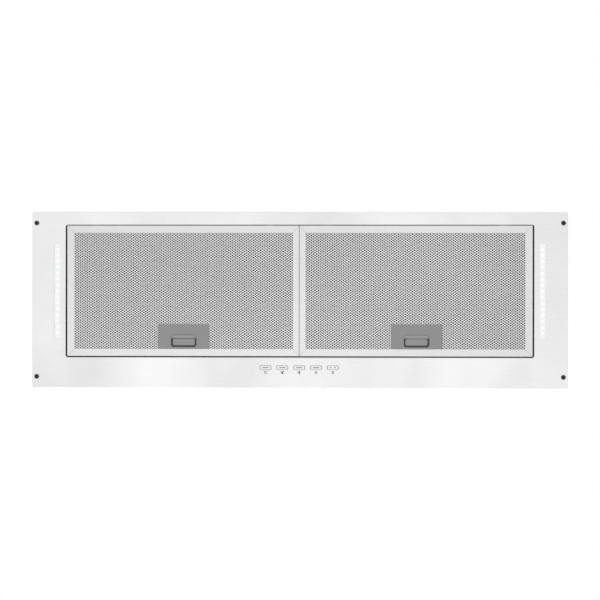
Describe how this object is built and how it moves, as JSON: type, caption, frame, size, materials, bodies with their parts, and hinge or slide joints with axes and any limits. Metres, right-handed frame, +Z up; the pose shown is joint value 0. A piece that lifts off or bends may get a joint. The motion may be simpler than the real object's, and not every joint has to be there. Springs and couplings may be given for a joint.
{
  "type": "range hood insert",
  "caption": "Range hood insert: slim steel face plate with hinged grease filters, lamps and push buttons, blower casing and round duct outlet.",
  "frame": {"origin": "centre of the four cabinet screws, on the plane where the folded rim of the face plate bears on the cabinet's underside", "axes": "+Z up, along the cabinet screws into the cabinet; +X along the length, to the left of the picture; -Y to the front edge with the buttons"},
  "size_m": [0.86, 0.2824, 0.2832],
  "materials": {
    "face_steel": "fine horizontal brushing, satin",
    "black_screw": "black oxide, satin",
    "frame_aluminium": "anodised, satin",
    "mesh_aluminium": "perforated sheet, bright",
    "inner_mesh": "expanded metal, dull",
    "latch_plate": "mid grey, matt",
    "latch_slider": "mid grey, matt",
    "spring_steel": "drawn wire",
    "lamp_lens": "clear lens",
    "lamp_strip": "white lacquered board with light sources",
    "lamp_holder": "white, matt",
    "button_steel": "satin",
    "switch_plastic": "black, matt",
    "green_board": "lacquered circuit board",
    "zinc_steel": "galvanised sheet, spangled",
    "zinc_screw": "zinc plated",
    "motor_can": "rolled steel can",
    "bracket_steel": "zinc plated",
    "shaft_steel": "ground steel",
    "wheel_plastic": "black glass-filled plastic",
    "capacitor_white": "white case",
    "box_plastic": "dark grey",
    "driver_white": "white case",
    "gland_plastic": "black nylon",
    "collar_plastic": "black plastic",
    "damper_plastic": "dark grey plastic"
  },
  "bodies": {
    "hood": {"face_plate": "face_steel", "cabinet_screws": "black_screw", "led_lens_left": "lamp_lens", "led_lens_right": "lamp_lens", "led_strip_left": "lamp_strip", "led_strip_right": "lamp_strip", "led_holder_left": "lamp_holder", "led_holder_right": "lamp_holder", "switch_holder": "switch_plastic", "switch_board": "green_board", "tact_switches": "switch_plastic", "casing_front": "zinc_steel", "casing_rear": "zinc_steel", "casing_left": "zinc_steel", "casing_right": "zinc_steel", "casing_top": "zinc_steel", "motor_box_front": "zinc_steel", "motor_box_rear": "zinc_steel", "motor_box_left": "zinc_steel", "motor_box_right": "zinc_steel", "motor_box_top": "zinc_steel", "casing_screws": "zinc_screw", "scroll_wrap": "zinc_steel", "scroll_cheek_left": "zinc_steel", "scroll_cheek_right": "zinc_steel", "motor": "motor_can", "motor_bracket": "bracket_steel", "run_capacitor": "capacitor_white", "control_box": "box_plastic", "control_box_cover": "box_plastic", "control_board": "green_board", "terminal_block": "driver_white", "led_driver": "driver_white", "cable_gland": "gland_plastic", "outlet_collar": "collar_plastic", "damper_rod": "shaft_steel"},
    "filter_left": {"filter_left_frame": "frame_aluminium", "filter_left_front_mesh": "mesh_aluminium", "filter_left_back_mesh": "mesh_aluminium", "filter_left_inner_mesh": "inner_mesh", "latch_plate_left": "latch_plate", "latch_spring_left": "spring_steel"},
    "latch_left": {"latch_slider_left": "latch_slider"},
    "filter_right": {"filter_right_frame": "frame_aluminium", "filter_right_front_mesh": "mesh_aluminium", "filter_right_back_mesh": "mesh_aluminium", "filter_right_inner_mesh": "inner_mesh", "latch_plate_right": "latch_plate", "latch_spring_right": "spring_steel"},
    "latch_right": {"latch_slider_right": "latch_slider"},
    "button_off": {"button_off": "button_steel"},
    "button_high": {"button_high": "button_steel"},
    "button_medium": {"button_medium": "button_steel"},
    "button_low": {"button_low": "button_steel"},
    "button_light": {"button_light": "button_steel"},
    "blower": {"blower_wheel": "wheel_plastic", "motor_shaft": "shaft_steel"},
    "damper_front": {"damper_flap_front": "damper_plastic"},
    "damper_rear": {"damper_flap_rear": "damper_plastic"}
  },
  "joints": [
    {"name": "filter_left_hinge", "type": "hinge", "parent": "hood", "child": "filter_left", "pos_m": [0.187, 0.11595, -0.0034], "axis": [1, 0, 0], "range_deg": [0, 55]},
    {"name": "latch_left_slide", "type": "slide", "parent": "filter_left", "child": "latch_left", "axis": [0, 1, 0], "range_m": [0, 0.003], "stiffness_N_per_m": 300, "springref_m": -0.003, "deforming": ["latch_spring_left"]},
    {"name": "filter_right_hinge", "type": "hinge", "parent": "hood", "child": "filter_right", "pos_m": [-0.187, 0.11595, -0.0034], "axis": [1, 0, 0], "range_deg": [0, 55]},
    {"name": "latch_right_slide", "type": "slide", "parent": "filter_right", "child": "latch_right", "axis": [0, 1, 0], "range_m": [0, 0.003], "stiffness_N_per_m": 300, "springref_m": -0.003, "deforming": ["latch_spring_right"]},
    {"name": "button_off_press", "type": "slide", "parent": "hood", "child": "button_off", "axis": [0, 0, 1], "range_m": [0, 0.0015], "stiffness_N_per_m": 400, "springref_m": -0.002},
    {"name": "button_high_press", "type": "slide", "parent": "hood", "child": "button_high", "axis": [0, 0, 1], "range_m": [0, 0.0015], "stiffness_N_per_m": 400, "springref_m": -0.002},
    {"name": "button_medium_press", "type": "slide", "parent": "hood", "child": "button_medium", "axis": [0, 0, 1], "range_m": [0, 0.0015], "stiffness_N_per_m": 400, "springref_m": -0.002},
    {"name": "button_low_press", "type": "slide", "parent": "hood", "child": "button_low", "axis": [0, 0, 1], "range_m": [0, 0.0015], "stiffness_N_per_m": 400, "springref_m": -0.002},
    {"name": "button_light_press", "type": "slide", "parent": "hood", "child": "button_light", "axis": [0, 0, 1], "range_m": [0, 0.0015], "stiffness_N_per_m": 400, "springref_m": -0.002},
    {"name": "blower_spin", "type": "hinge", "parent": "hood", "child": "blower", "pos_m": [0, -0.025, 0.122], "axis": [1, 0, 0], "continuous": true},
    {"name": "damper_front_hinge", "type": "hinge", "parent": "hood", "child": "damper_front", "pos_m": [0, 0.03221, 0.242], "axis": [-1, 0, 0], "range_deg": [0, 75]},
    {"name": "damper_rear_hinge", "type": "hinge", "parent": "hood", "child": "damper_rear", "pos_m": [0, 0.03221, 0.242], "axis": [1, 0, 0], "range_deg": [0, 75]}
  ]
}
